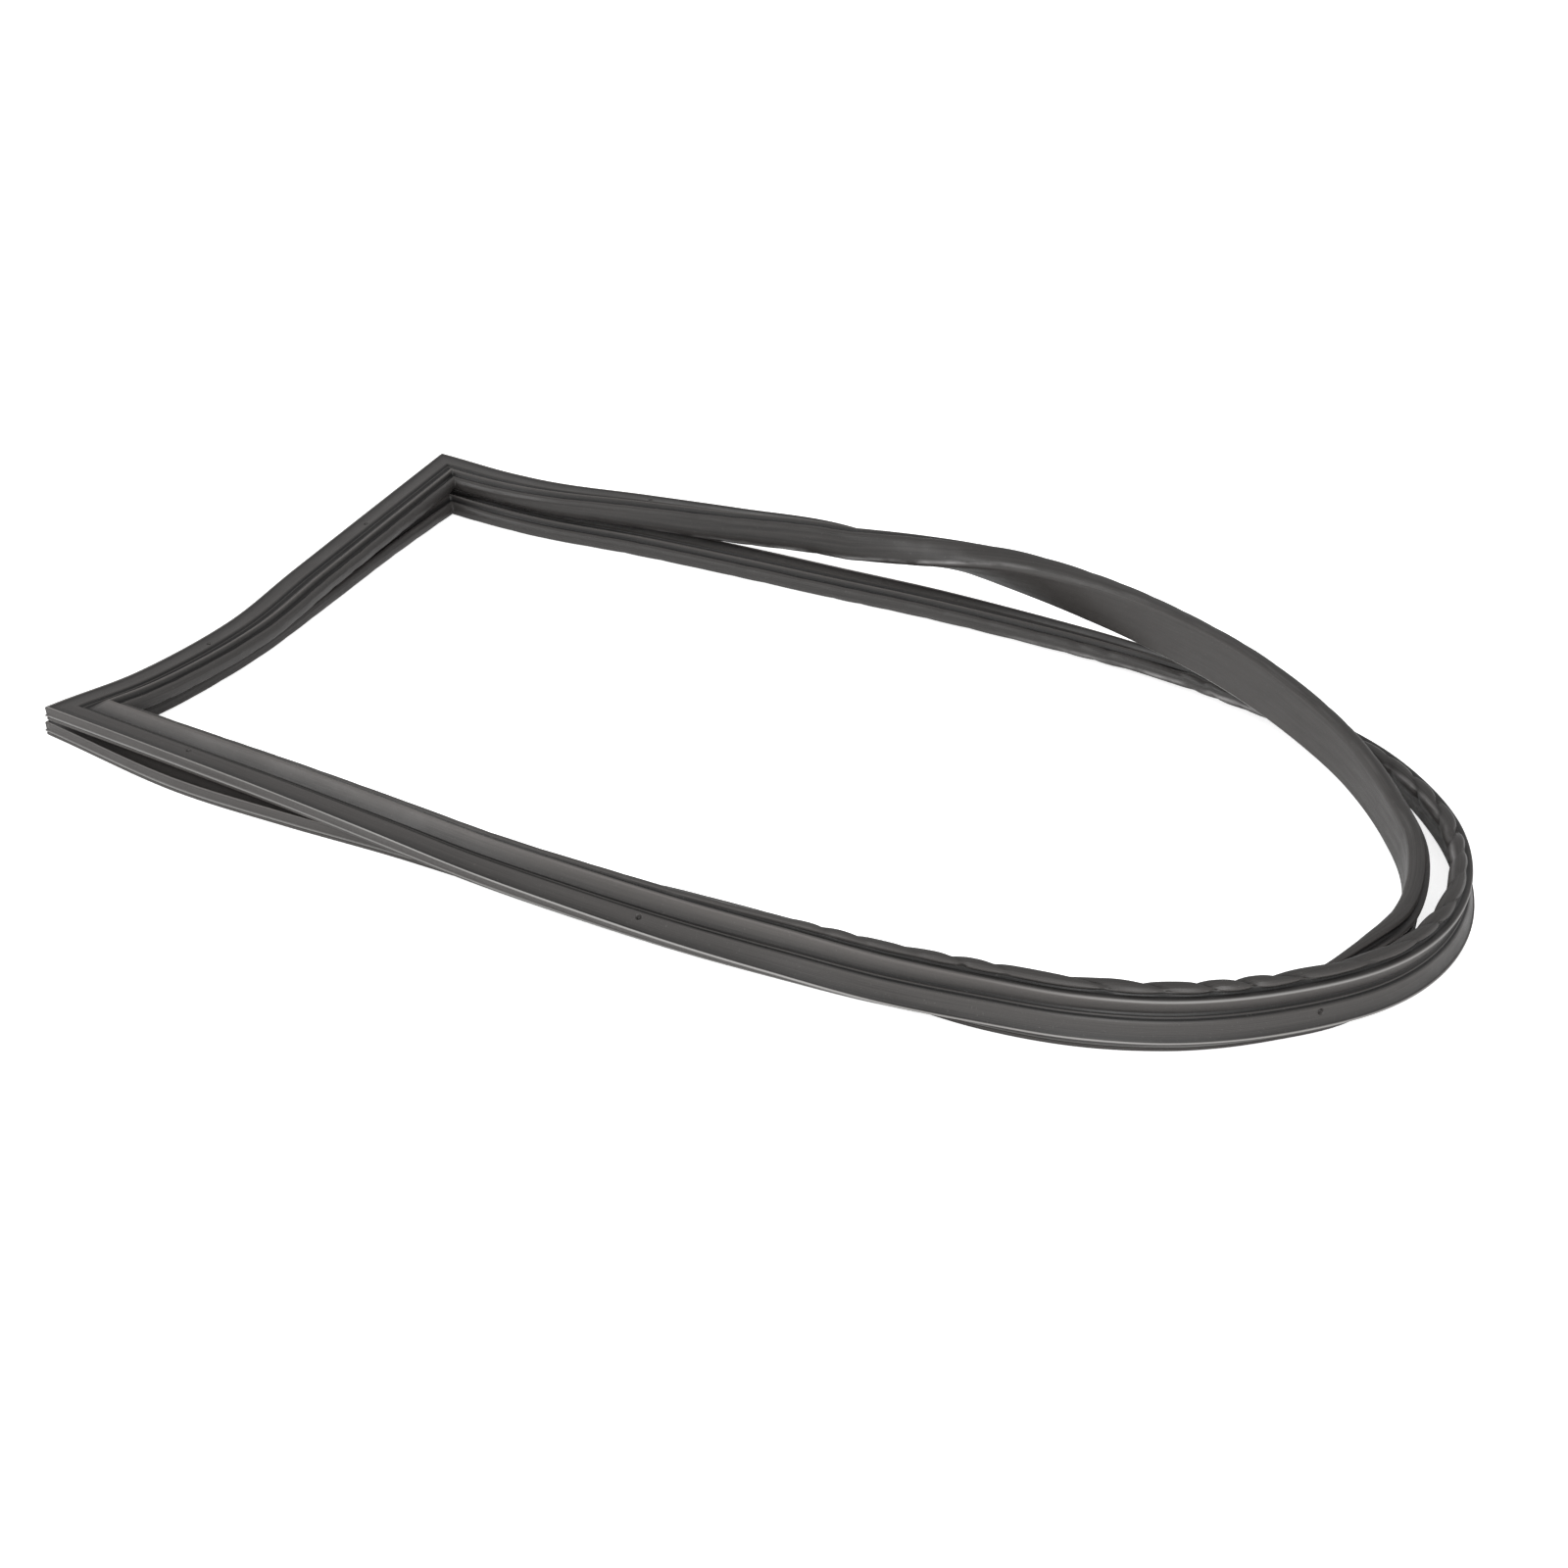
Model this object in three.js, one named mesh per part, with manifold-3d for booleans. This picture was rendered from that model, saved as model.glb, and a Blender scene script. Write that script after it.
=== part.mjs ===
// Magnetic door gasket of a fridge or freezer, coiled into two loops and lying flat.
// One welded, closed extrusion with four mitred corners, and a flexible magnet strip inside each side.
// Units are millimetres and +Z is up. The short sides run along Y, one on top of the other.
import * as THREE from 'three';
import { mergeVertices } from 'three/addons/utils/BufferGeometryUtils.js';
import Module from 'manifold-3d';

// Driving dimensions of the section, from its outer edge to its inner edge
const DECK_WIDTH = 10.4;
const DECK_HEIGHT = 8.5;
const BEAD = 0.5;
const VALLEY_WIDTH = 3.9;
const VALLEY_DEPTH = 2.3;
const SLOPE_WIDTH = 6.1;
const RIDGE_HEIGHT = 11.3;
const RIDGE_WIDTH = 2.0;
const GROOVE_WIDTH = 1.8;
const GROOVE_DEPTH = 3.3;
const BELLOWS_WIDTH = 4.2;
const BELLOWS_HEIGHT = 9.0;
const LIP_HEIGHT = 3.4;
const LIP_REACH = 0.7;
const LIP_NOTCH = 1.4;
const WALL = 1.1;
const EDGE = 0.9;

// Driving dimensions of the magnet strip and of the vent holes
const MAGNET_WIDTH = 9.8;
const MAGNET_THICKNESS = 2.4;
const CLEARANCE = 0.3;
const VENT_DIAMETER = 2.6;
const VENT_SIDES = 8;

// Vent holes, by their distance along each side
const VENTS = {
  upper_short: [92, 272],
  upper_long: [150, 450, 750, 1050, 1350],
  lower_short: [88, 264],
  lower_long: [60, 360, 650, 938, 1272, 1561],
};

// Spacing of the sections along the route, by length, by roll and by turn
const STEP_LENGTH = 42;
const STEP_ROLL = 15;
const STEP_TURN = 12;
const CORNER_LENGTH = 24;
const LAYER_GAP = 0.5;

// The route of the section's centre. Each row is [x, y, roll, lift, gape], the angles in degrees.
// Roll turns the inner edge upwards, and a lift of 1 lies on top of one flat layer.
// Gape swings the magnet's side away from the ribbed side, which stretches the bellows open.
const LOWER_SHORT = [
  [-366, -125, 0, 0, 0],
  [-355, -84, 0, 0, 0],
  [-349, -12, 0, 0, 0],
  [-353, 64, 0, 0, 0],
  [-359, 146, 0, 0, 0],
  [-362, 229, 0, 0, 0],
];
const LOWER_LONG = [
  [-362, 229, 0, 0, 0],
  [-320, 224, 0, 0, 0],
  [-279, 222, 0, 0, 0],
  [-217, 226, 0, 0, 0],
  [-148, 227, 0, 0, 0],
  [-80, 226, 1, 0, 0],
  [-15, 225, 3, 0, 0],
  [50, 220, 6, 0, 0],
  [114, 212, 10, 0, 0],
  [158, 202, 15, 0, 0],
  [203, 185, 22, 0, 0],
  [258, 159, 40, 0, 0],
  [303, 122, 58, 0.02, 0],
  [338, 76, 71, 0.06, 0],
  [356, 24, 76, 0.16, 0],
  [357, -26, 78, 0.34, 0],
  [343, -72, 78, 0.6, 0],
  [307, -118, 78, 0.82, 0],
  [270, -145, 78, 0.86, 0],
  [230, -160, 76, 0.84, 0],
  [184, -167, 70, 0.76, 0],
  [135, -168, 60, 0.48, 0],
  [82, -164, 47, 0.22, 0],
  [29, -163, 35, 0.22, 0],
  [-27, -161, 27, 0.35, 0],
  [-84, -158, 20, 0.54, 0],
  [-146, -151, 14, 0.71, 0],
  [-212, -143, 9, 0.83, 0],
  [-280, -136, 4, 0.94, 0],
  [-360, -127, 0, 1, 0],
];
const UPPER_SHORT = [
  [-360, -127, 0, 1, 0],
  [-347, -88, 0, 1.03, 0],
  [-340, -12, 0, 1.04, 0],
  [-349, 68, 0, 1.04, 0],
  [-368, 241, 0, 1, 0],
];
const UPPER_LONG = [
  [-368, 241, 0, 1, 0],
  [-326, 234, 1, 1.04, 2],
  [-286, 232, 3, 1.02, 7],
  [-226, 239, 6, 0.98, 14],
  [-161, 247, 10, 0.98, 19],
  [-97, 254, 17, 1.15, 21],
  [-30, 252, 37, 1.25, 19],
  [38, 241, 69, 1.35, 13],
  [108, 218, 90, 1.5, 7],
  [180, 179, 96, 1.75, 3],
  [229, 148, 93, 1.55, 2],
  [272, 116, 88, 1.05, 0],
  [304, 82, 86, 0.5, 0],
  [327, 45, 90, 0.12, 0],
  [338, -20, 88, 0, 0],
  [328, -68, 34, 0, 0],
  [297, -101, 4, 0, 0],
  [264, -126, 0, 0, 0],
  [226, -142, 0, 0, 0],
  [183, -149, 0, 0, 0],
  [136, -147, 0, 0, 0],
  [83, -142, 0, 0, 0],
  [29, -142, 0, 0, 0],
  [-26, -144, 0, 0, 0],
  [-84, -146, 0, 0, 0],
  [-145, -144, 0, 0, 0],
  [-211, -144, 0, 0, 0],
  [-281, -141, 0, 0, 0],
  [-366, -125, 0, 0, 0],
];

// Places across the section, each worked out from the widths before it
const DECK_END = DECK_WIDTH;
const VALLEY = DECK_END + VALLEY_WIDTH;
const RIDGE_START = VALLEY + SLOPE_WIDTH;
const RIDGE_END = RIDGE_START + RIDGE_WIDTH;
const GROOVE_END = RIDGE_END + GROOVE_WIDTH;
const WIDTH = GROOVE_END + BELLOWS_WIDTH;
const VALLEY_HEIGHT = DECK_HEIGHT - VALLEY_DEPTH;
const GROOVE_HEIGHT = RIDGE_HEIGHT - GROOVE_DEPTH;
const POCKET_CENTRE = DECK_END + VALLEY_WIDTH / 2;
const POCKET_HALF = MAGNET_WIDTH / 2 + CLEARANCE;
const CENTRE = new THREE.Vector2(WIDTH / 2, RIDGE_HEIGHT / 2);

// The magnet's side swings about the outer wall, and the ribbed side above stays as it is
const HINGE = new THREE.Vector2(0, (LIP_HEIGHT + VALLEY_HEIGHT) / 2);
const SWING_TOP = VALLEY_HEIGHT;
const SWING_BOTTOM = WALL + MAGNET_THICKNESS + 2 * CLEARANCE;

function opened(section, gape) {
  return section.map(([p, q]) => {
    const share = THREE.MathUtils.clamp((SWING_TOP - q) / (SWING_TOP - SWING_BOTTOM), 0, 1);
    const point = new THREE.Vector2(p, q).rotateAround(HINGE, -gape * share);
    return [point.x, point.y];
  });
}

// Outline of the section with the sealing face down, as points of p, across, and q, up
function outerSection() {
  return [
    [EDGE, 0],
    [0, EDGE],
    [0, LIP_HEIGHT - EDGE],
    [LIP_NOTCH, LIP_HEIGHT - EDGE / 2],
    [-LIP_REACH, LIP_HEIGHT],
    [0, LIP_HEIGHT + EDGE],
    [0, DECK_HEIGHT],
    [BEAD, DECK_HEIGHT + BEAD],
    [2 * BEAD, DECK_HEIGHT],
    [DECK_END, DECK_HEIGHT],
    [DECK_END + VALLEY_WIDTH / 2, VALLEY_HEIGHT + VALLEY_DEPTH / 3],
    [VALLEY, VALLEY_HEIGHT],
    [RIDGE_START, RIDGE_HEIGHT - BEAD],
    [(RIDGE_START + RIDGE_END) / 2, RIDGE_HEIGHT],
    [RIDGE_END, RIDGE_HEIGHT - BEAD],
    [RIDGE_END + GROOVE_WIDTH / 2, GROOVE_HEIGHT],
    [GROOVE_END, GROOVE_HEIGHT],
    [GROOVE_END + BELLOWS_WIDTH / 3, BELLOWS_HEIGHT],
    [WIDTH - EDGE, BELLOWS_HEIGHT - 2 * EDGE],
    [WIDTH, BELLOWS_HEIGHT / 2],
    [WIDTH - EDGE, 2 * EDGE],
    [WIDTH - BELLOWS_WIDTH, 0],
  ];
}

// Outline of the hollow: the magnet's pocket at the bottom, open to the air chamber above it
function hollowSection() {
  const ceiling = DECK_HEIGHT - WALL;
  const side = 1.5 * WALL;
  return [
    [side, LIP_HEIGHT + WALL],
    [side, ceiling],
    [DECK_END - WALL, ceiling],
    [VALLEY, VALLEY_HEIGHT - WALL],
    [RIDGE_START + BEAD, RIDGE_HEIGHT - side],
    [GROOVE_END, GROOVE_HEIGHT - WALL],
    [WIDTH - side, BELLOWS_HEIGHT / 2],
    [WIDTH - EDGE - 2 * WALL, 2 * EDGE + WALL],
    [POCKET_CENTRE + POCKET_HALF, WALL],
    [POCKET_CENTRE - POCKET_HALF, WALL],
  ];
}

function magnetSection() {
  const left = POCKET_CENTRE - MAGNET_WIDTH / 2;
  const right = POCKET_CENTRE + MAGNET_WIDTH / 2;
  const bottom = WALL + CLEARANCE;
  const top = bottom + MAGNET_THICKNESS;
  return [[left, bottom], [left, top], [right, top], [right, bottom]];
}

// Height of the section's centre over whatever it rests on, at a roll and a gape
function restHeight(roll, gape) {
  const lowest = opened(outerSection(), gape).map(([p, q]) => {
    return (p - CENTRE.x) * Math.sin(roll) + (q - CENTRE.y) * Math.cos(roll);
  });
  return -Math.min(...lowest);
}

// Smooth run through one side's rows, sampled finely: centre points, rolls and gapes
function denseRun(rows) {
  const layer = RIDGE_HEIGHT + LAYER_GAP;
  const plan = rows.map(([x, y]) => new THREE.Vector3(x, y, 0));
  const turns = rows.map(([, , roll, lift, gape]) => new THREE.Vector3(roll, lift, gape));
  const route = new THREE.CatmullRomCurve3(plan, false, 'centripetal');
  const rolling = new THREE.CatmullRomCurve3(turns, false, 'catmullrom', 0.5);
  const samplesPerRow = 24;
  const count = (rows.length - 1) * samplesPerRow;
  const run = [];
  for (let i = 0; i <= count; i += 1) {
    const centre = route.getPoint(i / count);
    const turn = rolling.getPoint(i / count);
    const roll = THREE.MathUtils.degToRad(turn.x);
    const gape = THREE.MathUtils.degToRad(Math.max(turn.z, 0));
    centre.z = restHeight(roll, gape) + Math.max(turn.y, 0) * layer;
    run.push({ centre, roll, gape });
  }
  return run;
}

// Chosen stations of a run: more of them where it rolls or turns
function stations(run) {
  const chosen = [];
  const heading = (i) => {
    const a = run[Math.max(i - 1, 0)].centre;
    const b = run[Math.min(i + 1, run.length - 1)].centre;
    return b.clone().sub(a).normalize();
  };
  const cost = [0];
  const travel = [0];
  for (let i = 1; i < run.length; i += 1) {
    const length = run[i].centre.distanceTo(run[i - 1].centre);
    const roll = THREE.MathUtils.radToDeg(Math.abs(run[i].roll - run[i - 1].roll));
    const turn = THREE.MathUtils.radToDeg(heading(i).angleTo(heading(i - 1)));
    cost.push(cost[i - 1] + length / STEP_LENGTH + roll / STEP_ROLL + turn / STEP_TURN);
    travel.push(travel[i - 1] + length);
  }
  const total = travel[travel.length - 1];
  const inner = run.map((sample, i) => i).filter((i) => {
    return travel[i] >= CORNER_LENGTH && travel[i] <= total - CORNER_LENGTH;
  });
  const first = inner[0];
  const last = inner[inner.length - 1];
  const steps = Math.max(1, Math.ceil(cost[last] - cost[first]));
  let next = first;
  for (let k = 0; k <= steps; k += 1) {
    const goal = cost[first] + ((cost[last] - cost[first]) * k) / steps;
    while (next < last && cost[next] < goal) {
      next += 1;
    }
    chosen.push({ ...run[next], heading: heading(next), travel: travel[next] });
  }
  return { chosen, total, start: heading(0), end: heading(run.length - 1) };
}

// Axes of the section at a heading: across, towards the inside of the loop, and up
function axes(heading, roll) {
  const up = new THREE.Vector3(0, 0, 1);
  const across = heading.clone().cross(up).normalize();
  const rise = across.clone().cross(heading).normalize();
  const p = across.clone().multiplyScalar(Math.cos(roll)).addScaledVector(rise, Math.sin(roll));
  const q = rise.clone().multiplyScalar(Math.cos(roll)).addScaledVector(across, -Math.sin(roll));
  return { p, q };
}

function placeSection(section, centre, p, q) {
  return section.map(([a, b]) => {
    return centre.clone().addScaledVector(p, a - CENTRE.x).addScaledVector(q, b - CENTRE.y);
  });
}

function stationRing(section, station) {
  const { p, q } = axes(station.heading, station.roll);
  return placeSection(opened(section, station.gape), station.centre, p, q);
}

// Section in the mitre plane of a corner, between the headings of the two sides that meet there
function mitreRing(section, centre, before, after) {
  const first = axes(before, 0).p;
  const second = axes(after, 0).p;
  const p = first.clone().add(second).divideScalar(1 + first.dot(second));
  return placeSection(section, centre, p, new THREE.Vector3(0, 0, 1));
}

// Faces between neighbouring rings; a closed run joins its last ring to its first
function skin(rings, closed) {
  const size = rings[0].length;
  const positions = rings.flat().flatMap((point) => [point.x, point.y, point.z]);
  const index = [];
  const spans = closed ? rings.length : rings.length - 1;
  for (let i = 0; i < spans; i += 1) {
    const here = i * size;
    const next = ((i + 1) % rings.length) * size;
    for (let k = 0; k < size; k += 1) {
      const other = (k + 1) % size;
      index.push(here + k, next + other, next + k);
      index.push(here + k, here + other, next + other);
    }
  }
  return { positions, index, size };
}

function geometryFrom(positions, index) {
  const geometry = new THREE.BufferGeometry();
  geometry.setAttribute('position', new THREE.Float32BufferAttribute(positions, 3));
  geometry.setIndex(index);
  return geometry;
}

function closedGeometry(rings) {
  const { positions, index } = skin(rings, true);
  return geometryFrom(positions, index);
}

function cappedGeometry(rings) {
  const { positions, index, size } = skin(rings, false);
  const last = (rings.length - 1) * size;
  for (let k = 1; k < size - 1; k += 1) {
    index.push(0, k + 1, k);
    index.push(last, last + k, last + k + 1);
  }
  return geometryFrom(positions, index);
}

// The four sides in order of travel, clockwise seen from above
const SIDES = [
  { name: 'upper_short', rows: UPPER_SHORT },
  { name: 'upper_long', rows: UPPER_LONG },
  { name: 'lower_short', rows: LOWER_SHORT },
  { name: 'lower_long', rows: LOWER_LONG },
];

function layOut() {
  return SIDES.map((side) => {
    const run = denseRun(side.rows);
    return { ...side, run, ...stations(run) };
  });
}

// Rings all the way round: each side's mitre first, then its stations
function loopRings(sides, section) {
  const rings = [];
  sides.forEach((side, i) => {
    const previous = sides[(i + sides.length - 1) % sides.length];
    rings.push(mitreRing(section, side.run[0].centre, previous.end, side.start));
    side.chosen.forEach((station) => rings.push(stationRing(section, station)));
  });
  return rings;
}

// A vent's cutter: a short rod through the deck, near the valley
function ventGeometry(station) {
  const { p, q } = axes(station.heading, station.roll);
  const radius = VENT_DIAMETER / 2;
  const place = DECK_END - radius - EDGE;
  const base = DECK_HEIGHT - 2 * WALL;
  const length = 3 * WALL;
  const geometry = new THREE.CylinderGeometry(radius, radius, length, VENT_SIDES);
  const turn = new THREE.Matrix4().makeBasis(p, q, p.clone().cross(q));
  geometry.applyMatrix4(turn);
  const middle = station.centre.clone();
  middle.addScaledVector(p, place - CENTRE.x);
  middle.addScaledVector(q, base + length / 2 - CENTRE.y);
  geometry.translate(middle.x, middle.y, middle.z);
  return geometry;
}

// Where a side's vents are: on the flat facets between two stations
function ventStations(side) {
  return VENTS[side.name].map((goal) => {
    const after = side.chosen.findIndex((station) => station.travel > goal);
    const first = side.chosen[after - 1];
    const second = side.chosen[after];
    const share = (goal - first.travel) / (second.travel - first.travel);
    return {
      centre: first.centre.clone().lerp(second.centre, share),
      heading: first.heading.clone().lerp(second.heading, share).normalize(),
      roll: THREE.MathUtils.lerp(first.roll, second.roll, share),
    };
  });
}

const wasm = await Module();
wasm.setup();

function solidFrom(geometry) {
  const bare = geometry.clone();
  bare.deleteAttribute('normal');
  bare.deleteAttribute('uv');
  const merged = mergeVertices(bare, 1e-4);
  const vertProperties = new Float32Array(merged.attributes.position.array);
  const triVerts = new Uint32Array(merged.index.array);
  return new wasm.Manifold(new wasm.Mesh({ numProp: 3, vertProperties, triVerts }));
}

function geometryOf(solid) {
  const mesh = solid.getMesh();
  return geometryFrom(Array.from(mesh.vertProperties), Array.from(mesh.triVerts));
}

function gasketGeometry(sides) {
  let solid = solidFrom(closedGeometry(loopRings(sides, outerSection())));
  solid = solid.subtract(solidFrom(closedGeometry(loopRings(sides, hollowSection()))));
  sides.forEach((side) => {
    ventStations(side).forEach((station) => {
      solid = solid.subtract(solidFrom(ventGeometry(station)));
    });
  });
  return geometryOf(solid);
}

function magnetGeometry(side) {
  return cappedGeometry(side.chosen.map((station) => stationRing(magnetSection(), station)));
}

function finish(colour, roughness) {
  return new THREE.MeshStandardMaterial({ color: colour, roughness, metalness: 0 });
}

function namedMesh(name, geometry, material) {
  const mesh = new THREE.Mesh(geometry, material);
  mesh.name = name;
  return mesh;
}

const sides = layOut();
const model = new THREE.Group();
model.add(namedMesh('gasket', gasketGeometry(sides), finish(0x3f3f3f, 0.55)));
sides.forEach((side) => {
  model.add(namedMesh(`magnet_${side.name}`, magnetGeometry(side), finish(0x2a2320, 0.8)));
});

// The origin is under the middle of the coil, on the surface that it lies on
const box = new THREE.Box3().setFromObject(model);
const middle = box.getCenter(new THREE.Vector3());
model.position.set(-middle.x, -middle.y, -box.min.z);

export default model;
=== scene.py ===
"""A magnetic door gasket, coiled into two loops, on a white studio floor."""
import math

import bpy
import numpy as np
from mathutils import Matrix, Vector


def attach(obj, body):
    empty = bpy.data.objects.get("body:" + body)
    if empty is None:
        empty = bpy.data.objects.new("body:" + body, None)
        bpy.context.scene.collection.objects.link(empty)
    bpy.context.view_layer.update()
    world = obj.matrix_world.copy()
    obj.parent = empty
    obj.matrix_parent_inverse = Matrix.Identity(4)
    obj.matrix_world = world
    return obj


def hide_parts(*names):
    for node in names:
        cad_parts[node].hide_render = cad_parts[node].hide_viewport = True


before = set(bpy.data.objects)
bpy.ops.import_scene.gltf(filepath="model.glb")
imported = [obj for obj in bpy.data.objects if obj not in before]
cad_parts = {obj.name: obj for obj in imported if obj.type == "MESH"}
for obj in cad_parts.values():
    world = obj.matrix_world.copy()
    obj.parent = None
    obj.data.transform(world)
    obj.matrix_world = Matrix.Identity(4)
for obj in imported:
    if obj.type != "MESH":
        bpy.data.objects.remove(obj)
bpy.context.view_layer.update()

# Lengths below are in millimetres until the mesh is made
MM = 0.001

# Section sizes that the route needs, as in the solid
PIVOT = (14.2, 5.65)
LAYER = 11.8
REST_OUTLINE = [
    (0.9, 0.0), (0.0, 0.9), (-0.7, 3.4), (0.0, 8.5), (0.5, 9.0), (10.4, 8.5), (21.4, 11.3),
    (25.6, 9.0), (27.5, 7.2), (28.4, 4.5), (27.5, 1.8), (24.2, 0.0),
]

# The magnet's side of the section swings open about the outer wall, between these heights
HINGE = (0.0, 4.8)
SWING_TOP = 6.2
SWING_BOTTOM = 4.1

# The route of the section's pivot. Each row is (x, y, roll, lift in layers, gape), angles in degrees.
LOWER_SHORT = [
    (-366, -125, 0, 0, 0),
    (-355, -84, 0, 0, 0),
    (-349, -12, 0, 0, 0),
    (-353, 64, 0, 0, 0),
    (-359, 146, 0, 0, 0),
    (-362, 229, 0, 0, 0),
]
LOWER_LONG = [
    (-362, 229, 0, 0, 0),
    (-320, 224, 0, 0, 0),
    (-279, 222, 0, 0, 0),
    (-217, 226, 0, 0, 0),
    (-148, 227, 0, 0, 0),
    (-80, 226, 1, 0, 0),
    (-15, 225, 3, 0, 0),
    (50, 220, 6, 0, 0),
    (114, 212, 10, 0, 0),
    (158, 202, 15, 0, 0),
    (203, 185, 22, 0, 0),
    (258, 159, 40, 0, 0),
    (303, 122, 58, 0.02, 0),
    (338, 76, 71, 0.06, 0),
    (356, 24, 76, 0.16, 0),
    (357, -26, 78, 0.34, 0),
    (343, -72, 78, 0.6, 0),
    (307, -118, 78, 0.82, 0),
    (270, -145, 78, 0.86, 0),
    (230, -160, 76, 0.84, 0),
    (184, -167, 70, 0.76, 0),
    (135, -168, 60, 0.48, 0),
    (82, -164, 47, 0.22, 0),
    (29, -163, 35, 0.22, 0),
    (-27, -161, 27, 0.35, 0),
    (-84, -158, 20, 0.54, 0),
    (-146, -151, 14, 0.71, 0),
    (-212, -143, 9, 0.83, 0),
    (-280, -136, 4, 0.94, 0),
    (-360, -127, 0, 1, 0),
]
UPPER_SHORT = [
    (-360, -127, 0, 1, 0),
    (-347, -88, 0, 1.03, 0),
    (-340, -12, 0, 1.04, 0),
    (-349, 68, 0, 1.04, 0),
    (-368, 241, 0, 1, 0),
]
UPPER_LONG = [
    (-368, 241, 0, 1, 0),
    (-326, 234, 1, 1.04, 2),
    (-286, 232, 3, 1.02, 7),
    (-226, 239, 6, 0.98, 14),
    (-161, 247, 10, 0.98, 19),
    (-97, 254, 17, 1.15, 21),
    (-30, 252, 37, 1.25, 19),
    (38, 241, 69, 1.35, 13),
    (108, 218, 90, 1.5, 7),
    (180, 179, 96, 1.75, 3),
    (229, 148, 93, 1.55, 2),
    (272, 116, 88, 1.05, 0),
    (304, 82, 86, 0.5, 0),
    (327, 45, 90, 0.12, 0),
    (338, -20, 88, 0, 0),
    (328, -68, 34, 0, 0),
    (297, -101, 4, 0, 0),
    (264, -126, 0, 0, 0),
    (226, -142, 0, 0, 0),
    (183, -149, 0, 0, 0),
    (136, -147, 0, 0, 0),
    (83, -142, 0, 0, 0),
    (29, -142, 0, 0, 0),
    (-26, -144, 0, 0, 0),
    (-84, -146, 0, 0, 0),
    (-145, -144, 0, 0, 0),
    (-211, -144, 0, 0, 0),
    (-281, -141, 0, 0, 0),
    (-366, -125, 0, 0, 0),
]

# Vent holes: how far along each side they are, and where across the deck
VENTS = {
    "upper_short": (92, 272),
    "upper_long": (150, 450, 750, 1050, 1350),
    "lower_short": (88, 264),
    "lower_long": (60, 360, 650, 938, 1272, 1561),
}
VENT_ACROSS = 8.2
VENT_RADIUS = 1.3
VENT_DEPTH = 2.4
VENT_EDGE = 0.3
VENT_MARGIN = 0.6

# The deck that the vents go through: how far across it reaches, and above which height
DECK_SPAN = (5.0, 11.0)
DECK_LEVEL = 7.5

# The section's corners: p across, q up, and the radius that rounds each
SECTION = [
    (1.1, 0.0, 0.25),
    (0.1, 0.8, 0.25),
    (0.1, 2.3, 0.15),
    (1.6, 2.9, 0.12),
    (-0.7, 3.3, 0.12),
    (0.1, 4.2, 0.25),
    (-0.1, 8.1, 0.2),
    (0.3, 8.9, 0.2),
    (0.9, 8.8, 0.15),
    (1.3, 8.3, 0.15),
    (6.0, 8.25, 0.8),
    (10.2, 8.5, 0.25),
    (11.3, 8.1, 0.2),
    (12.0, 7.2, 0.15),
    (12.7, 7.3, 0.12),
    (13.2, 6.7, 0.12),
    (14.3, 6.2, 0.2),
    (20.3, 10.8, 0.25),
    (21.4, 11.3, 0.3),
    (22.4, 10.7, 0.2),
    (23.0, 8.3, 0.2),
    (24.1, 7.9, 0.25),
    (25.4, 8.9, 0.4),
    (27.2, 8.2, 0.5),
    (28.3, 6.2, 0.5),
    (28.4, 4.2, 0.5),
    (27.6, 2.0, 0.5),
    (26.2, 0.5, 0.4),
    (24.6, 0.0, 0.3),
]

# How a corner of the section is rounded: the most it takes of an edge, and how near it stays
CORNER_SHARE = 0.4
CORNER_PULL = 0.22

# Places across the section
GROOVE = 23.4
GROOVE_RISE = 2.0
GROOVE_SIDE = 22.0
GROOVE_SIDE_RISE = 1.5
BELLOWS_START = 24.9
SEAL_LEVEL = 0.4
WALL_END = 1.8
LIP_END = -0.3
DECK_SIDE = 7.8
WALL_TOP = 8.0
RIDGE_SLOPE = (14.3, 22.5)

# How far the shear of a mitred corner reaches, and how finely the sweep is sampled
MITRE_REACH = 34.0
SAMPLES_PER_ROW = 24
STEP = 2.6
FINE_STEP = 0.35

# Painted light and shade across the section, dark in the grooves and pale on beads and crests, from 0, dark,
# to 1, pale: (p, tone) over the ribbed side
RIB_PAINTED_SHADING = [
    (-0.7, 0.95), (-0.2, 0.35), (0.0, 0.40), (0.3, 1.0), (0.9, 0.9), (1.3, 0.10), (2.4, 0.28),
    (9.0, 0.38), (10.4, 0.45), (11.3, 0.12), (12.0, 0.0), (12.7, 0.42), (13.2, 0.02),
    (14.3, 0.10), (15.4, 0.55), (18.0, 0.74), (20.3, 0.62), (21.4, 0.88), (22.4, 0.25),
    (23.0, 0.0), (24.1, 0.05), (25.4, 0.45), (27.2, 0.30), (28.4, 0.25),
]
# Painted shade levels of the seal face, the outer wall and the low side
SEAL_TONE = 0.34
WALL_TONE = 0.42
LOW_SIDE_TONE = 0.5

# Crinkles in the bellows: how long one is, and (distance along, height) of the folds on each side
FOLD_LENGTH = 27.0
FOLD_DRIFT = 3.4
FOLD_SLANT = 0.45
FOLD_MIDDLE = 4.0
FOLD_LEVEL = 1.6
BELLOWS_FOLDS = {
    "upper_short": [(0, 0.25), (365, 0.25)],
    "upper_long": [(0, 0.15), (200, 0.25), (900, 0.15), (1600, 0.15)],
    "lower_short": [(0, 0.15), (351, 0.15)],
    "lower_long": [
        (0, 0.15), (420, 0.3), (470, 0.9), (560, 0.9), (640, 0.5), (700, 1.8), (800, 2.2),
        (880, 1.8), (1000, 1.9), (1100, 1.5), (1180, 0.7), (1300, 0.15), (1640, 0.12),
    ],
}
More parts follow.
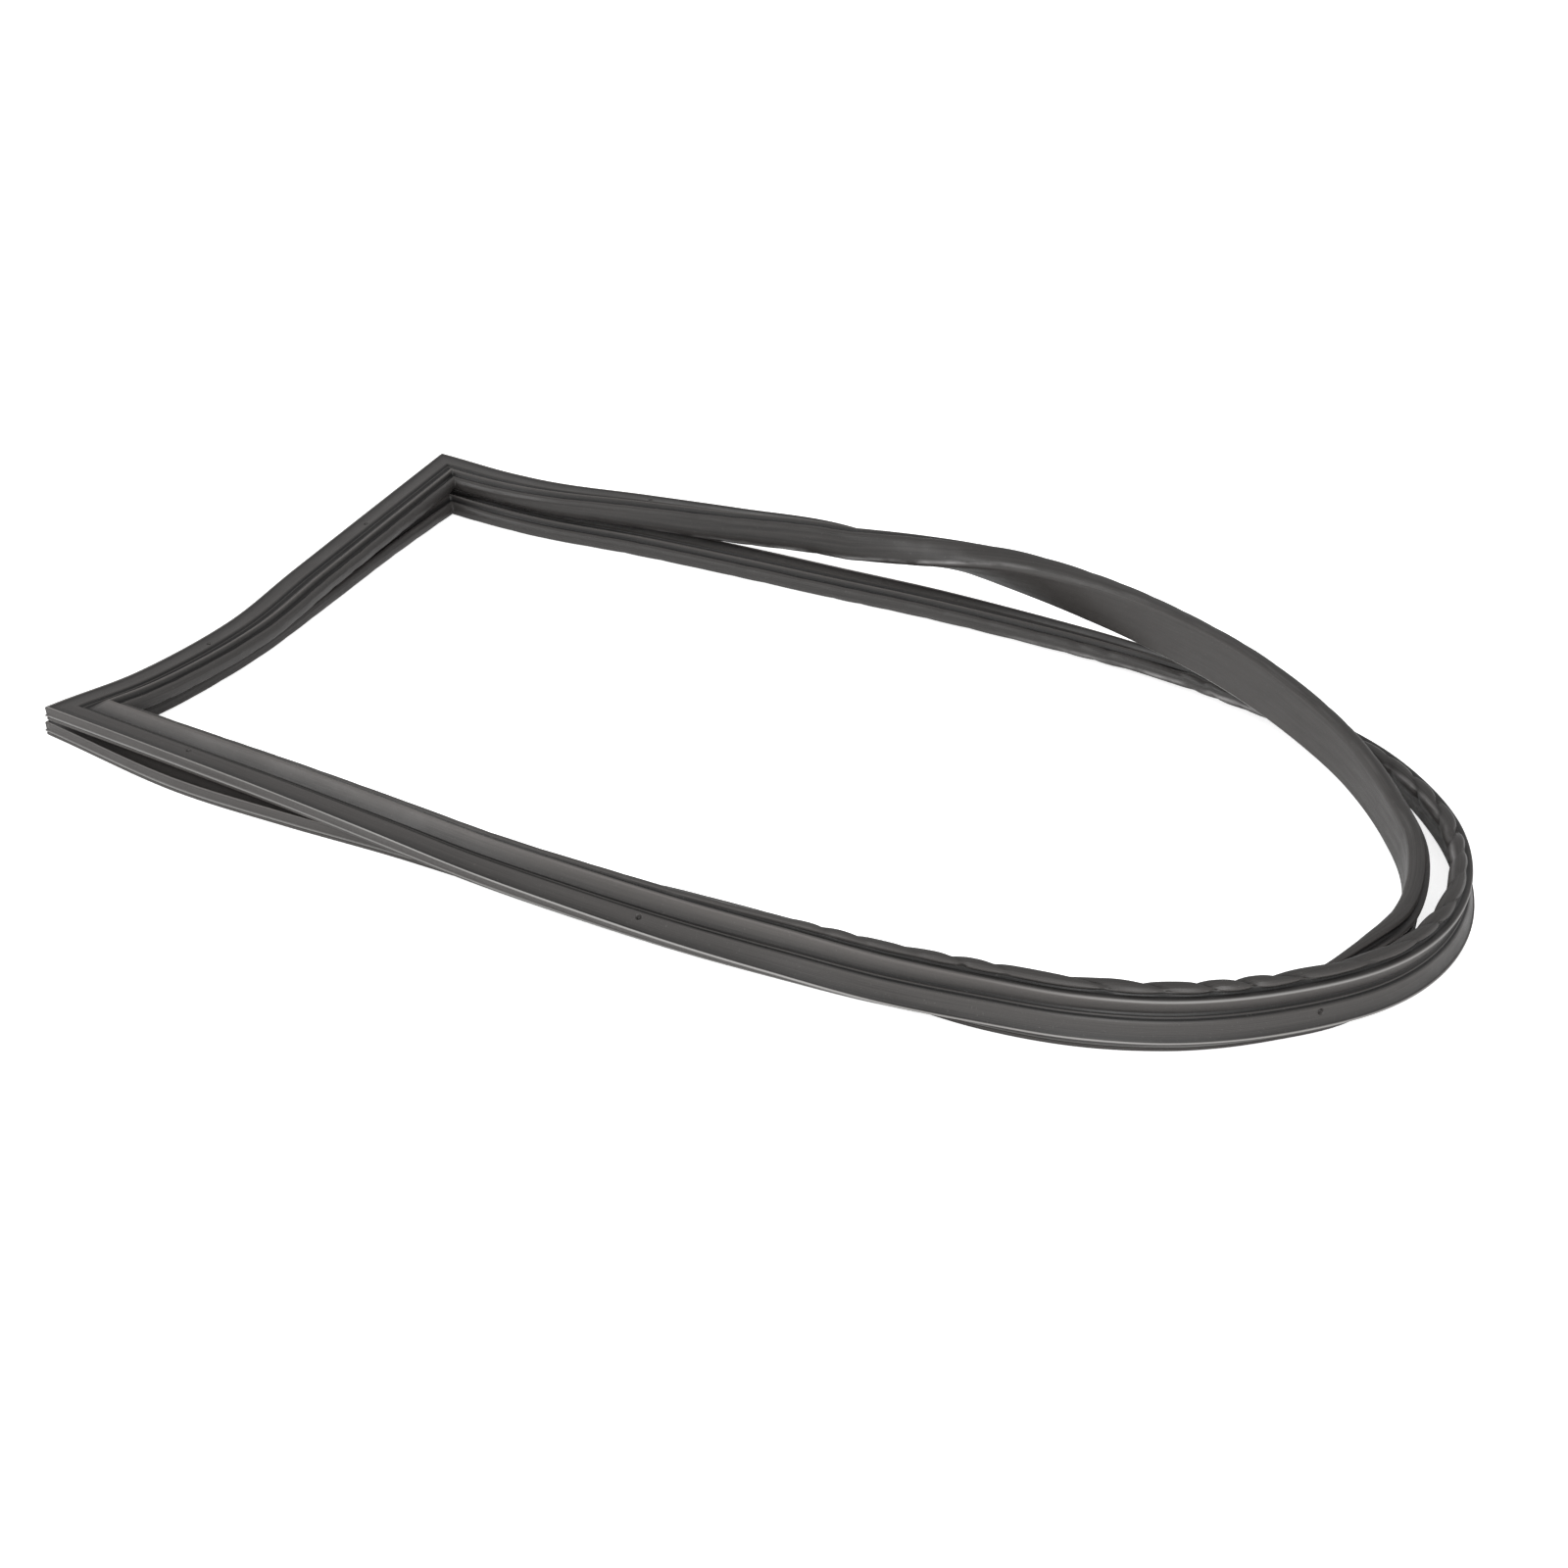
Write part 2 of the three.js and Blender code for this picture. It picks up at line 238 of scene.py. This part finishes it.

# Painted reflection on the thin, stretched skin of the bellows: (distance along, how much it shows) on each
# side
FILM_REFLECTION = {
    "upper_short": [(0, 0.0), (365, 0.0)],
    "upper_long": [
        (0, 0.0), (150, 0.1), (210, 0.9), (330, 1.0), (380, 0.5), (430, 0.1), (1600, 0.0),
    ],
    "lower_short": [(0, 0.0), (351, 0.0)],
    "lower_long": [
        (0, 0.0), (400, 0.1), (470, 0.9), (570, 0.9), (640, 0.3), (700, 0.7), (780, 0.4), (840, 0.0),
    ],
}
FILM_HEIGHT = 2.6
FILM_HALF = 1.5

# How the noise of the profile's unevenness is spaced and sized along a side
DRIFT_SPACING = 40.0
VARY_SPACING = 23.0
VARY_MEAN = 0.65
VARY_HALF = 0.35
SWAY_SPACING = 55.0
SWAY = 0.12
SWAY_FROM = 2.0
SIDE_SEED = 3
SEED_STEP = 7

# How far apart the sides lie in the materials' noise
SIDE_SPREAD = 10

# Painted highlights, thin bright lines on edges: the side, where on the section, and (distance along,
# brightness)
GLINT_FULL = 1.4
GLINT_REACH = 0.42
GLINTS = [
    ("lower_long", (0.6, 8.9), [
        (820, 0.0), (900, 0.4), (1100, 0.3), (1200, 0.5), (1400, 0.5), (1560, 0.2), (1640, 0.1),
    ]),
    ("lower_long", (-0.7, 3.3), [(880, 0.0), (960, 0.35), (1640, 0.35)]),
    ("upper_long", (-0.7, 3.3), [(880, 0.0), (960, 0.3), (1600, 0.3)]),
    ("lower_long", (21.4, 11.3), [(500, 0.0), (700, 0.35), (1000, 0.35), (1100, 0.0)]),
    ("upper_long", (0.3, 0.6), [(430, 0.0), (480, 0.8), (700, 0.9), (860, 0.7), (920, 0.0)]),
    ("upper_short", (0.6, 8.9), [(0, 0.2), (365, 0.3)]),
]

# Colours of the vinyl, its dust, the painted reflection on its stretched skin and the painted highlights on
# its edges, and how strong streaks and dust are
VINYL_DARK = (0.008, 0.008, 0.008, 1)
VINYL_PALE = (0.108, 0.099, 0.094, 1)
DUST_COLOUR = (0.30, 0.29, 0.28, 1)
FILM_REFLECTION_COLOUR = (0.42, 0.41, 0.41, 1)
PAINTED_HIGHLIGHT_COLOUR = (0.50, 0.50, 0.49, 1)
STREAK_SIZE = 0.5
DUST_AMOUNT = 0.16

# How the noise is stretched along and round the profile, for fine lines and for soft patches
LINES_STRETCH = (0.012, 2.6, 1.0)
CLOUD_STRETCH = (0.035, 0.12, 1.0)

# Colours of the magnet strip
FERRITE_DARK = (0.022, 0.017, 0.015, 1)
FERRITE_PALE = (0.060, 0.048, 0.042, 1)

# The camera in millimetres, measured from where the route's own origin comes to lie, and its lens
CAMERA_OFFSET = (578.0, -1127.7, 717.0)
CAMERA_LENS = 63.0
SENSOR = 36.0

# The white floor in metres, and the light that the camera sees on it besides what falls on it
FLOOR_SIZE = 8.0
FLOOR_LIFT = 0.7

# Lamps: the name, the place and width in metres, and the power
LAMPS = [
    ("key", (1.0, -1.9, 0.9), 1.4, 26),
    ("left", (-1.4, -0.9, 0.8), 0.9, 9),
]

# The white studio, as it lights the scene and as reflections see it
STUDIO_LIGHT = 1.0
STUDIO_MIRRORED = 0.45


def spline(points, sample, centripetal):
    """A Catmull-Rom point through the rows, as the solid's route is made."""
    last = len(points) - 1
    place = last * sample
    row = min(int(place), last - 1)
    part = place - row
    p1 = points[row]
    p2 = points[row + 1]
    p0 = points[row - 1] if row > 0 else 2 * p1 - p2
    p3 = points[row + 2] if row + 2 <= last else 2 * p2 - p1
    if centripetal:
        d0, d1, d2 = [math.sqrt(np.linalg.norm(b - a)) for a, b in ((p0, p1), (p1, p2), (p2, p3))]
        start = ((p1 - p0) / d0 - (p2 - p0) / (d0 + d1) + (p2 - p1) / d1) * d1
        end = ((p2 - p1) / d1 - (p3 - p1) / (d1 + d2) + (p3 - p2) / d2) * d1
    else:
        start = (p2 - p0) / 2
        end = (p3 - p1) / 2
    square = -3 * p1 + 3 * p2 - 2 * start - end
    cube = 2 * p1 - 2 * p2 + start + end
    return p1 + start * part + square * part ** 2 + cube * part ** 3


def opened(p, q, gape):
    """Section points with the magnet's side swung away from the ribbed side."""
    share = np.clip((SWING_TOP - q) / (SWING_TOP - SWING_BOTTOM), 0, 1)
    cos = np.cos(gape * share)
    sin = np.sin(gape * share)
    wide = p - HINGE[0]
    tall = q - HINGE[1]
    return HINGE[0] + wide * cos + tall * sin, HINGE[1] + tall * cos - wide * sin


def rest_height(roll, gape):
    """Height of the section's pivot over what it rests on, at a roll and gape in radians."""
    outline = np.array(REST_OUTLINE)
    p, q = opened(outline[:, 0], outline[:, 1], gape)
    heights = (p - PIVOT[0]) * math.sin(roll) + (q - PIVOT[1]) * math.cos(roll)
    return -heights.min()


def dense_run(rows):
    """One side's centre points, rolls, gapes, headings and distances along, sampled finely."""
    table = np.array(rows, float)
    count = (len(rows) - 1) * SAMPLES_PER_ROW
    samples = np.arange(count + 1) / count
    plan = np.array([spline(table[:, :2], s, True) for s in samples])
    turns = np.array([spline(table[:, 2:], s, False) for s in samples])
    roll = np.radians(turns[:, 0])
    gape = np.radians(np.maximum(turns[:, 2], 0))
    rest = np.array([rest_height(r, g) for r, g in zip(roll, gape)])
    height = rest + np.maximum(turns[:, 1], 0) * LAYER
    centre = np.column_stack([plan, height])
    gaps = np.linalg.norm(np.diff(centre, axis=0), axis=1)
    along = np.concatenate([[0], np.cumsum(gaps)])
    heading = np.gradient(centre, along, axis=0)
    heading /= np.linalg.norm(heading, axis=1)[:, None]
    return {"centre": centre, "roll": roll, "gape": gape, "heading": heading, "along": along}


def at(run, key, along):
    """A run's value at distances along it."""
    values = run[key]
    if values.ndim == 1:
        return np.interp(along, run["along"], values)
    return np.column_stack([np.interp(along, run["along"], values[:, k]) for k in range(3)])


def rounded_outline(corners):
    """The section's outline, with each corner cut into three points."""
    outline = []
    for k, (p, q, radius) in enumerate(corners):
        here = np.array([p, q])
        before = np.array(corners[k - 1][:2]) - here
        after = np.array(corners[(k + 1) % len(corners)][:2]) - here
        before_length = np.linalg.norm(before)
        after_length = np.linalg.norm(after)
        start = before / before_length * min(radius, before_length * CORNER_SHARE)
        end = after / after_length * min(radius, after_length * CORNER_SHARE)
        outline.append(here + start)
        outline.append(here + (start + end) * CORNER_PULL)
        outline.append(here + end)
    return np.array(outline)


def refined(outline, low, high, top, step):
    """The outline with more points where it passes a span of p on its upper side."""
    fine = []
    for k, here in enumerate(outline):
        after = outline[(k + 1) % len(outline)]
        fine.append(here)
        crosses = min(here[0], after[0]) < high and max(here[0], after[0]) > low
        if crosses and here[1] > top and after[1] > top:
            pieces = int(np.linalg.norm(after - here) / step)
            fine.extend(here + (after - here) * j / pieces for j in range(1, pieces))
    return np.array(fine)


def smooth_noise(seed, length, spacing):
    """Seeded smooth noise between -1 and 1 along a length, as a function of distance."""
    generator = np.random.default_rng(seed)
    knots = generator.uniform(-1, 1, int(length / spacing) + 3)
    places = np.arange(len(knots)) * spacing
    return lambda along: np.interp(along, places, knots)


def outline_normals(outline):
    """Outward normals at the outline's points; the outline runs clockwise."""
    forward = np.roll(outline, -1, axis=0) - np.roll(outline, 1, axis=0)
    normals = np.column_stack([-forward[:, 1], forward[:, 0]])
    return normals / np.linalg.norm(normals, axis=1)[:, None]


def pieces_along(table, along):
    """Straight-line values between the rows of a table of (place, value)."""
    places, values = zip(*table)
    return np.interp(along, places, values)


def stations(run, vents):
    """Distances along a side at which the section is placed, closer together at its vents."""
    total = run["along"][-1]
    regular = np.linspace(0, total, int(total / STEP) + 1)[:-1]
    reach = VENT_RADIUS + 2 * FINE_STEP
    extra = [vent + np.arange(-reach, reach, FINE_STEP) for vent in vents]
    near = np.min([abs(regular - vent) for vent in vents], axis=0) < reach
    return np.sort(np.concatenate([regular[~near], *extra]))


def axes_of(heading, roll):
    """The section's axes at headings and rolls: across and up."""
    up = np.array([0.0, 0.0, 1.0])
    across = np.cross(heading, up)
    across /= np.linalg.norm(across, axis=1)[:, None]
    rise = np.cross(across, heading)
    cos = np.cos(roll)[:, None]
    sin = np.sin(roll)[:, None]
    return across * cos + rise * sin, rise * cos - across * sin


def corner_tangent(before, after):
    """Half the turn between two headings, as the tangent that shears a mitre."""
    turn = math.acos(float(np.clip(np.dot(before[:2], after[:2]), -1, 1)))
    return math.tan(turn / 2)


def fold_shape(name, seed, along, outline):
    """Displacement of each outline point along its normal, at each distance along a side."""
    total = along[-1] + STEP
    drift = smooth_noise(seed, total, DRIFT_SPACING)(along)
    vary = VARY_MEAN + VARY_HALF * smooth_noise(seed + 1, total, VARY_SPACING)(along)
    phase = 2 * math.pi * along / FOLD_LENGTH + FOLD_DRIFT * drift
    p = outline[:, 0]
    q = outline[:, 1]
    bellows = np.clip((p - GROOVE) / GROOVE_RISE, 0, 1)
    bellows *= np.clip((p - GROOVE_SIDE) / GROOVE_SIDE_RISE, 0, 1)
    slant = (q - FOLD_MIDDLE) * FOLD_SLANT
    wave = 2 * np.sqrt(np.abs(np.sin((phase[:, None] + slant[None, :]) / 2))) - FOLD_LEVEL
    folds = wave * bellows[None, :] * (pieces_along(BELLOWS_FOLDS[name], along) * vary)[:, None]
    sway = SWAY * smooth_noise(seed + 2, total, SWAY_SPACING)(along)
    return folds + sway[:, None] * (q > SWAY_FROM)[None, :]


def pit_depth(along, outline, vents):
    """Depth of the vent holes under the deck, at each station and outline point."""
    across = outline[:, 0]
    on_deck = (outline[:, 1] > DECK_LEVEL) & (across > DECK_SPAN[0]) & (across < DECK_SPAN[1])
    depth = np.zeros((len(along), len(outline)))
    for vent in vents:
        away = np.hypot((along - vent)[:, None], (across - VENT_ACROSS)[None, :])
        inside = np.clip((VENT_RADIUS + VENT_EDGE / 2 - away) / VENT_EDGE, 0, 1)
        depth = np.maximum(depth, inside * VENT_DEPTH * on_deck[None, :])
    return depth


SIDES = [
    ("upper_short", UPPER_SHORT),
    ("upper_long", UPPER_LONG),
    ("lower_short", LOWER_SHORT),
    ("lower_long", LOWER_LONG),
]


def side_rings(index, runs, outline, normals):
    """One side's rings of points, from its first mitre up to just before its last one."""
    name = SIDES[index][0]
    run = runs[index]
    before = runs[index - 1]["heading"][-1]
    after = runs[(index + 1) % len(runs)]["heading"][0]
    along = stations(run, VENTS[name])
    total = run["along"][-1]
    across, rise = axes_of(at(run, "heading", along), at(run, "roll", along))
    centre = at(run, "centre", along)
    push = fold_shape(name, SEED_STEP * index + SIDE_SEED, along, outline)
    pits = pit_depth(along, outline, VENTS[name])
    p = outline[None, :, 0] + push * normals[None, :, 0]
    q = outline[None, :, 1] + push * normals[None, :, 1] - pits
    p, q = opened(p, q, at(run, "gape", along)[:, None])
    p = p - PIVOT[0]
    q = q - PIVOT[1]
    first = corner_tangent(before, run["heading"][0])
    last = corner_tangent(run["heading"][-1], after)
    shear = first * np.clip(1 - along / MITRE_REACH, 0, 1)
    shear -= last * np.clip(1 - (total - along) / MITRE_REACH, 0, 1)
    heading = at(run, "heading", along)
    points = (
        centre[:, None, :]
        + across[:, None, :] * p[:, :, None]
        + rise[:, None, :] * q[:, :, None]
        + heading[:, None, :] * (shear[:, None] * p)[:, :, None]
    )
    film_reflection = film_reflection_mask(name, along, outline)
    glint = painted_highlight_mask(name, along, outline)
    return points, along, film_reflection, glint


def film_reflection_mask(name, along, outline):
    """Where a painted reflection lies on the thin, stretched bellows skin, from 0 to 1."""
    on_bellows = outline[:, 0] > BELLOWS_START
    reflection_share = np.clip(1 - np.abs(outline[:, 1] - FILM_HEIGHT) / FILM_HALF, 0, 1) * on_bellows
    return pieces_along(FILM_REFLECTION[name], along)[:, None] * reflection_share[None, :]


def painted_highlight_mask(name, along, outline):
    """Where a painted highlight draws a thin bright line on an edge, from 0 to 1."""
    glint = np.zeros((len(along), len(outline)))
    for side, place, table in GLINTS:
        if side == name:
            away = np.linalg.norm(outline - np.array(place), axis=1)
            near = np.clip(GLINT_FULL - away / GLINT_REACH, 0, 1)
            glint = np.maximum(glint, pieces_along(table, along)[:, None] * near[None, :])
    return glint


def painted_shading(outline):
    """The painted light and shade at each outline point, face by face."""
    # Painted shade: the low side kept darker, and the wall, ridge slope and seal face each given its own
    # level
    across = outline[:, 0]
    height = outline[:, 1]
    ribs = pieces_along(RIB_PAINTED_SHADING, across)
    tone = np.where(height < DECK_SIDE, np.minimum(ribs, LOW_SIDE_TONE), ribs)
    is_wall = (across < WALL_END) & (across >= LIP_END) & (height < WALL_TOP)
    tone = np.where(is_wall, WALL_TONE, tone)
    on_slope = (across > RIDGE_SLOPE[0]) & (across < RIDGE_SLOPE[1])
    tone = np.where(on_slope, ribs, tone)
    return np.where(height < SEAL_LEVEL, SEAL_TONE, tone)


def gasket_shape():
    """Points round the whole coil, ring by ring, with their places, painted reflection and painted
    highlights, and the section's outline.
    """
    outline = rounded_outline(SECTION)
    reach = VENT_RADIUS + VENT_MARGIN
    outline = refined(outline, VENT_ACROSS - reach, VENT_ACROSS + reach, DECK_SIDE, FINE_STEP)
    normals = outline_normals(outline)
    runs = [dense_run(rows) for _, rows in SIDES]
    rings = []
    places = []
    film_reflections = []
    glints = []
    steps = np.linalg.norm(np.roll(outline, -1, axis=0) - outline, axis=1)
    girth = np.concatenate([[0], np.cumsum(steps)[:-1]])
    for index in range(len(SIDES)):
        points, along, film_reflection, glint = side_rings(index, runs, outline, normals)
        rings.append(points)
        side = np.full((len(along), len(outline)), float(index))
        wide = np.broadcast_to(girth, side.shape)
        far = np.broadcast_to(along[:, None], side.shape)
        places.append(np.stack([far, wide, side * SIDE_SPREAD], axis=2))
        film_reflections.append(film_reflection)
        glints.append(glint)
    points = np.concatenate(rings)
    place = np.concatenate(places)
    film_reflection = np.concatenate(film_reflections)
    glint = np.concatenate(glints)
    return points, place, film_reflection, glint, outline


def ring_faces(count, size):
    """Four-sided faces between rings of points, closed round each ring and from last to first."""
    ring = np.arange(count)[:, None]
    spot = np.arange(size)[None, :]
    next_ring = (ring + 1) % count
    next_spot = (spot + 1) % size
    return np.stack([
        ring * size + spot,
        ring * size + next_spot,
        next_ring * size + next_spot,
        next_ring * size + spot,
    ], axis=2).reshape(-1, 4)


def add_attribute(mesh, name, kind, field, values):
    """A value for each point of the mesh, which its material reads by name."""
    attribute = mesh.attributes.new(name, kind, "POINT")
    attribute.data.foreach_set(field, values.ravel().astype(np.float32))


def build_gasket(shape, shift):
    """The whole profile, swept round the coil as one closed mesh."""
    points, place, film_reflection, glint, outline = shape
    faces = ring_faces(*points.shape[:2])
    vertices = (points.reshape(-1, 3) + shift) * MM
    mesh = bpy.data.meshes.new("gasket_profile")
    mesh.vertices.add(len(vertices))
    mesh.vertices.foreach_set("co", vertices.ravel())
    mesh.loops.add(faces.size)
    mesh.loops.foreach_set("vertex_index", faces.ravel())
    mesh.polygons.add(len(faces))
    mesh.polygons.foreach_set("loop_start", np.arange(len(faces)) * 4)
    mesh.update(calc_edges=True)
    mesh.polygons.foreach_set("use_smooth", np.ones(len(faces), bool))
    add_attribute(mesh, "place", "FLOAT_VECTOR", "vector", place)
    add_attribute(mesh, "tone", "FLOAT", "value", np.broadcast_to(painted_shading(outline), film_reflection.shape))
    add_attribute(mesh, "film_reflection", "FLOAT", "value", film_reflection)
    add_attribute(mesh, "glint", "FLOAT", "value", glint)
    piece = bpy.data.objects.new("gasket_profile", mesh)
    bpy.context.scene.collection.objects.link(piece)
    return piece


def new_material(name):
    material = bpy.data.materials.new(name)
    material.use_nodes = True
    return material, material.node_tree.nodes, material.node_tree.links


def add_node(nodes, kind, **settings):
    node = nodes.new(kind)
    for key, value in settings.items():
        if key in node.inputs:
            node.inputs[key].default_value = value
        else:
            setattr(node, key, value)
    return node


def ramp_node(nodes, stops):
    node = nodes.new("ShaderNodeValToRGB")
    elements = node.color_ramp.elements
    while len(elements) < len(stops):
        elements.new(0.5)
    for element, (place, value) in zip(elements, stops):
        element.position = place
        element.color = (value, value, value, 1)
    return node


def noise(nodes, links, source, stretch, scale, detail, roughness):
    """Noise over a vector, stretched by a mapping where one is given."""
    texture = add_node(nodes, "ShaderNodeTexNoise", Scale=scale, Detail=detail, Roughness=roughness)
    if stretch is None:
        links.new(source, texture.inputs["Vector"])
        return texture.outputs["Fac"]
    mapping = add_node(nodes, "ShaderNodeMapping", Scale=stretch)
    links.new(source, mapping.inputs["Vector"])
    links.new(mapping.outputs["Vector"], texture.inputs["Vector"])
    return texture.outputs["Fac"]


def ramped(nodes, links, value, stops):
    ramp = ramp_node(nodes, stops)
    links.new(value, ramp.inputs["Fac"])
    return ramp.outputs["Color"]


def product(nodes, links, value, factor):
    """A value times a number or times another value."""
    multiply = add_node(nodes, "ShaderNodeMath", operation="MULTIPLY")
    links.new(value, multiply.inputs[0])
    if isinstance(factor, float):
        multiply.inputs[1].default_value = factor
    else:
        links.new(factor, multiply.inputs[1])
    return multiply.outputs["Value"]


def mixed(nodes, links, share, below, above):
    """A colour below that turns into a fixed colour above; below is a colour or an output."""
    mix = add_node(nodes, "ShaderNodeMix", data_type="RGBA")
    mix.inputs["B"].default_value = above
    links.new(share, mix.inputs["Factor"])
    if isinstance(below, tuple):
        mix.inputs["A"].default_value = below
    else:
        links.new(below, mix.inputs["A"])
    return mix.outputs["Result"]


def bumped(nodes, links, height, strength, distance, normal=None):
    bump = add_node(nodes, "ShaderNodeBump", Strength=strength, Distance=distance)
    links.new(height, bump.inputs["Height"])
    if normal is not None:
        links.new(normal, bump.inputs["Normal"])
    return bump.outputs["Normal"]


def streaked_tone(nodes, links, lines, tone):
    """The section's painted light and shade, made a little lighter and darker by streaks along the profile.
    """
    streaked = add_node(nodes, "ShaderNodeMath", operation="MULTIPLY_ADD")
    streaked.inputs[1].default_value = STREAK_SIZE
    links.new(lines, streaked.inputs[0])
    links.new(tone, streaked.inputs[2])
    centred = add_node(nodes, "ShaderNodeMath", operation="SUBTRACT", use_clamp=True)
    centred.inputs[1].default_value = STREAK_SIZE / 2
    links.new(streaked.outputs["Value"], centred.inputs[0])
    return centred.outputs["Value"]


def vinyl_material():
    """Black flexible vinyl: extrusion lines along the profile, fine speckle, satin sheen and dust, with
    painted light, shade, highlights and reflection in its colour.
    """
    material, nodes, links = new_material("vinyl")
    shader = nodes["Principled BSDF"]
    given = {}
    for name in ("place", "film_reflection", "tone", "glint"):
        given[name] = add_node(nodes, "ShaderNodeAttribute", attribute_name=name).outputs
    along = given["place"]["Vector"]
    everywhere = nodes.new("ShaderNodeTexCoord").outputs["Object"]
    lines = noise(nodes, links, along, LINES_STRETCH, scale=1.0, detail=3.0, roughness=0.6)
    cloud = noise(nodes, links, along, CLOUD_STRETCH, scale=1.0, detail=4.0, roughness=0.55)
    speckle = noise(nodes, links, everywhere, None, scale=900.0, detail=2.0, roughness=0.7)
    grain = noise(nodes, links, everywhere, None, scale=2600.0, detail=1.0, roughness=0.5)

    # Colour: near-black body with painted light and shade across the profile, faint streaks, dust, a painted
    # reflection on the stretched bellows skin and painted highlights on edges
    shade = streaked_tone(nodes, links, lines, given["tone"]["Fac"])
    colour = mixed(nodes, links, shade, VINYL_DARK, VINYL_PALE)
    specks = ramped(nodes, links, speckle, [(0.64, 0.0), (0.80, 1.0)])
    dust = product(nodes, links, specks, DUST_AMOUNT)
    colour = mixed(nodes, links, dust, colour, DUST_COLOUR)
    # Painted reflection on the stretched bellows skin, pale in patches
    patches = ramped(nodes, links, cloud, [(0.40, 0.05), (0.66, 0.95)])
    reflection_share = product(nodes, links, given["film_reflection"]["Fac"], patches)
    colour = mixed(nodes, links, reflection_share, colour, FILM_REFLECTION_COLOUR)
    # Painted highlights: thin bright lines along edges
    colour = mixed(nodes, links, given["glint"]["Fac"], colour, PAINTED_HIGHLIGHT_COLOUR)
    links.new(colour, shader.inputs["Base Color"])

    # Sheen: satin, a little glossier in patches
    gloss = ramped(nodes, links, cloud, [(0.30, 0.34), (0.72, 0.52)])
    links.new(gloss, shader.inputs["Roughness"])
    shader.inputs["Specular IOR Level"].default_value = 0.45

    # Relief: extrusion lines, then the skin's fine grain
    relief = bumped(nodes, links, lines, strength=0.35, distance=0.0002)
    relief = bumped(nodes, links, grain, strength=0.18, distance=0.0001, normal=relief)
    links.new(relief, shader.inputs["Normal"])
    return material


def magnet_material():
    """Dark ferrite-filled strip with a fine grain."""
    material, nodes, links = new_material("ferrite_strip")
    shader = nodes["Principled BSDF"]
    everywhere = nodes.new("ShaderNodeTexCoord").outputs["Object"]
    grain = noise(nodes, links, everywhere, None, scale=1500.0, detail=3.0, roughness=0.5)
    links.new(mixed(nodes, links, grain, FERRITE_DARK, FERRITE_PALE), shader.inputs["Base Color"])
    shader.inputs["Roughness"].default_value = 0.8
    return material


def floor_material():
    """A matt white floor, which the camera sees a little brighter than the light on it."""
    material, nodes, links = new_material("floor_white")
    shader = nodes["Principled BSDF"]
    everywhere = nodes.new("ShaderNodeTexCoord").outputs["Object"]
    cloud = noise(nodes, links, everywhere, None, scale=3.0, detail=2.0, roughness=0.5)
    tone = ramped(nodes, links, cloud, [(0.0, 0.90), (1.0, 0.92)])
    links.new(tone, shader.inputs["Base Color"])
    shader.inputs["Roughness"].default_value = 0.9
    seen = nodes.new("ShaderNodeLightPath").outputs["Is Camera Ray"]
    shader.inputs["Emission Color"].default_value = (1, 1, 1, 1)
    links.new(product(nodes, links, seen, FLOOR_LIFT), shader.inputs["Emission Strength"])
    return material


def add_floor(material):
    bpy.ops.mesh.primitive_plane_add(size=FLOOR_SIZE, location=(0, 0, 0))
    floor = bpy.context.object
    floor.name = "floor"
    floor.data.materials.append(material)


def add_area(name, place, target, width, power):
    light = bpy.data.lights.new(name, "AREA")
    light.size = width
    light.energy = power
    lamp = bpy.data.objects.new(name, light)
    lamp.location = place
    lamp.rotation_euler = (Vector(target) - Vector(place)).to_track_quat("-Z", "Y").to_euler()
    bpy.context.scene.collection.objects.link(lamp)


def add_camera(target):
    camera = bpy.data.cameras.new("camera")
    camera.lens = CAMERA_LENS
    camera.sensor_width = SENSOR
    holder = bpy.data.objects.new("camera", camera)
    aim = Vector(target)
    holder.location = aim + Vector(CAMERA_OFFSET) * MM
    holder.rotation_euler = (aim - holder.location).to_track_quat("-Z", "Y").to_euler()
    bpy.context.scene.collection.objects.link(holder)
    bpy.context.scene.camera = holder


def set_world(strength, mirrored):
    """A white studio, which reflections see darker than the floor does."""
    world = bpy.data.worlds.new("studio")
    world.use_nodes = True
    nodes = world.node_tree.nodes
    links = world.node_tree.links
    background = nodes["Background"]
    background.inputs["Color"].default_value = (1, 1, 1, 1)
    path = nodes.new("ShaderNodeLightPath")
    level = add_node(nodes, "ShaderNodeMix", data_type="FLOAT")
    level.inputs["A"].default_value = strength
    level.inputs["B"].default_value = mirrored
    links.new(path.outputs["Is Glossy Ray"], level.inputs["Factor"])
    links.new(level.outputs["Result"], background.inputs["Strength"])
    bpy.context.scene.world = world


# The origin is under the middle of the coil's box, so the route moves by its own middle
shape = gasket_shape()
lowest = shape[0].min(axis=(0, 1))
highest = shape[0].max(axis=(0, 1))
shift = -(lowest + highest) / 2 * np.array([1.0, 1.0, 0.0])

gasket = build_gasket(shape, shift)
gasket.data.materials.append(vinyl_material())
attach(gasket, "root")
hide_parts("gasket")

ferrite = magnet_material()
for name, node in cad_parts.items():
    if name.startswith("magnet"):
        node.data.materials.clear()
        node.data.materials.append(ferrite)

add_floor(floor_material())
middle = (shift[0] * MM, shift[1] * MM, 0.0)
for name, place, width, power in LAMPS:
    add_area(name, place, middle, width, power)
set_world(STUDIO_LIGHT, STUDIO_MIRRORED)
bpy.context.scene.view_settings.view_transform = "Standard"
add_camera(middle)
